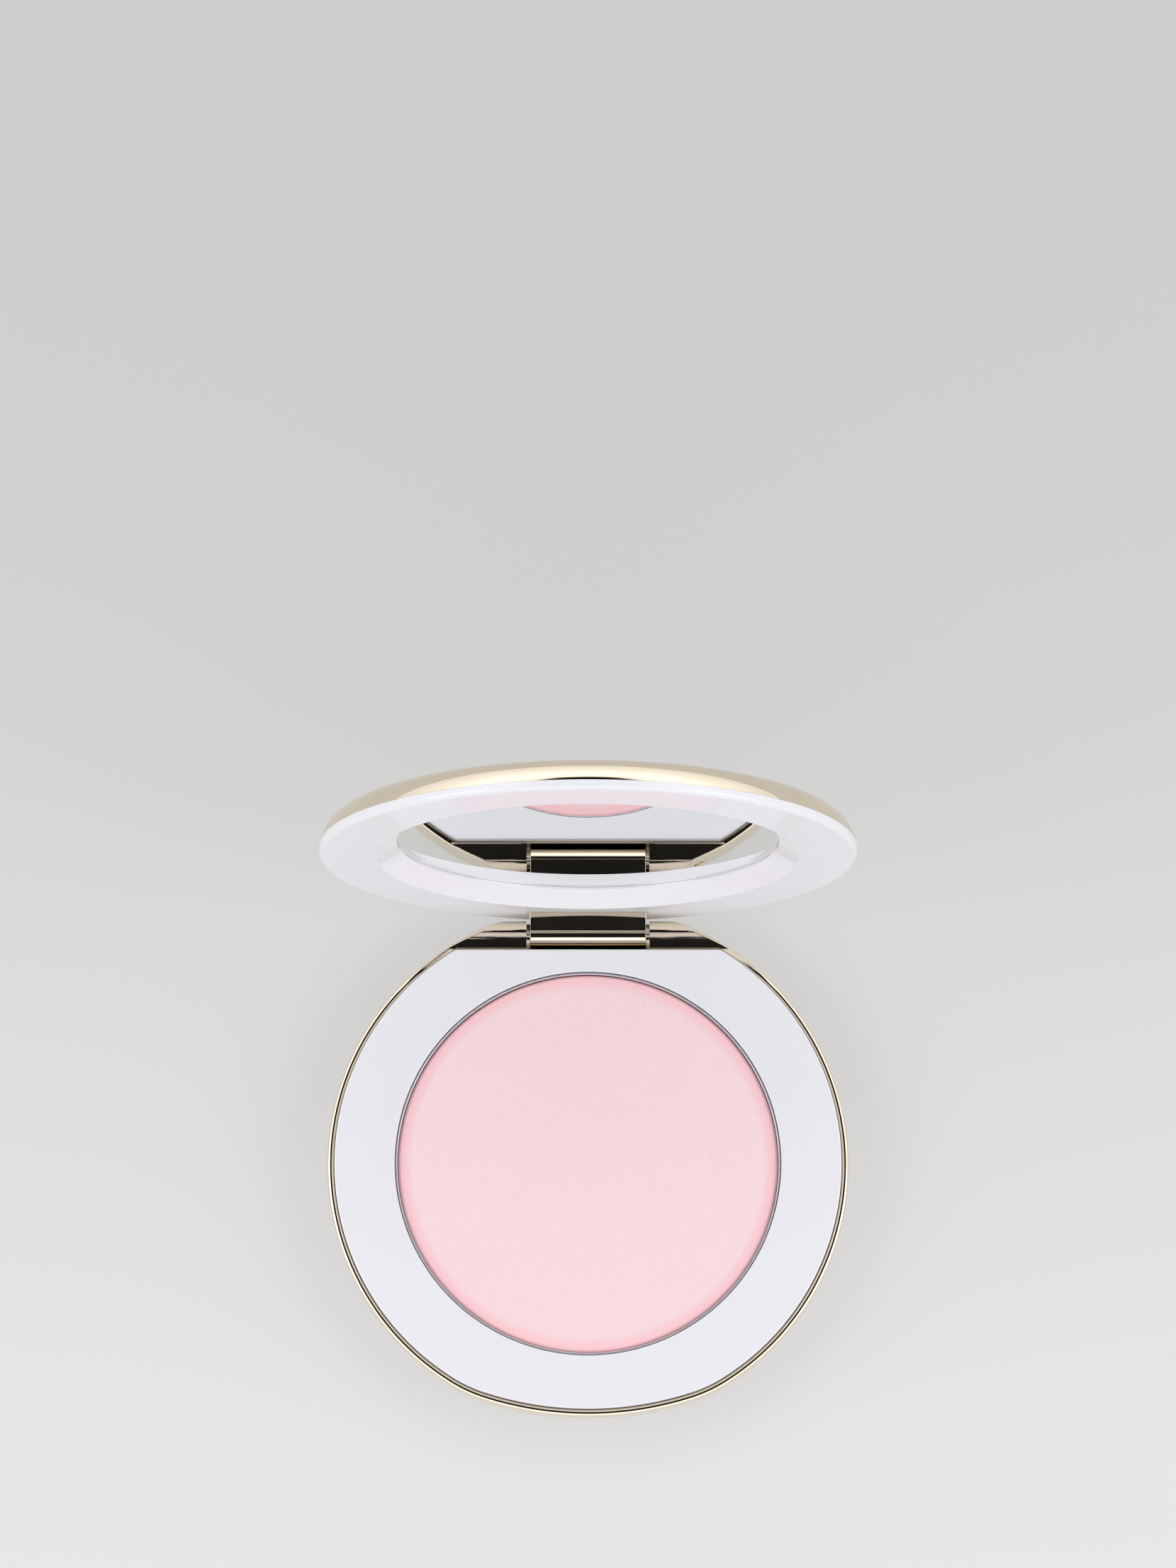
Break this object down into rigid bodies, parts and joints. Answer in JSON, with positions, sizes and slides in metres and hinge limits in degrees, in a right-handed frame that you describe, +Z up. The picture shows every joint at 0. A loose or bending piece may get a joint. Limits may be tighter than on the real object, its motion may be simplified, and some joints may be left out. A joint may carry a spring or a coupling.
{
  "type": "powder compact",
  "caption": "Round powder compact with pressed powder in a metal pan and a hinged lid with a recessed round mirror.",
  "frame": {"origin": "centre of the base's flat underside, on its bottom label", "axes": "+Z up, +Y from the front towards the hinge, +X to the right along the hinge axis"},
  "size_m": [0.0804, 0.0879, 0.082],
  "materials": {
    "champagne_gold": "gloss",
    "white_gloss_plastic": "gloss",
    "pan_metal": "satin",
    "pressed_powder": "matte",
    "clear_glue": "matte",
    "magnet_nickel": "satin",
    "label_film": "satin",
    "pin_steel": "satin",
    "silvered_glass": "polished",
    "foam_tape": "matte"
  },
  "bodies": {
    "base": {"base_shell": "champagne_gold", "base_deck": "white_gloss_plastic", "powder_pan": "pan_metal", "pressed_powder": "pressed_powder", "pan_adhesive": "clear_glue", "base_magnet": "magnet_nickel", "bottom_label": "label_film", "hinge_pin": "pin_steel"},
    "lid": {"lid_shell": "champagne_gold", "lid_frame": "white_gloss_plastic", "mirror_glass": "silvered_glass", "mirror_tape": "foam_tape", "lid_magnet": "magnet_nickel"}
  },
  "joints": [
    {"name": "lid_hinge", "type": "hinge", "parent": "base", "child": "lid", "pos_m": [0, 0.0358, 0.0065], "axis": [1, 0, 0], "range_deg": [0, 94]}
  ]
}
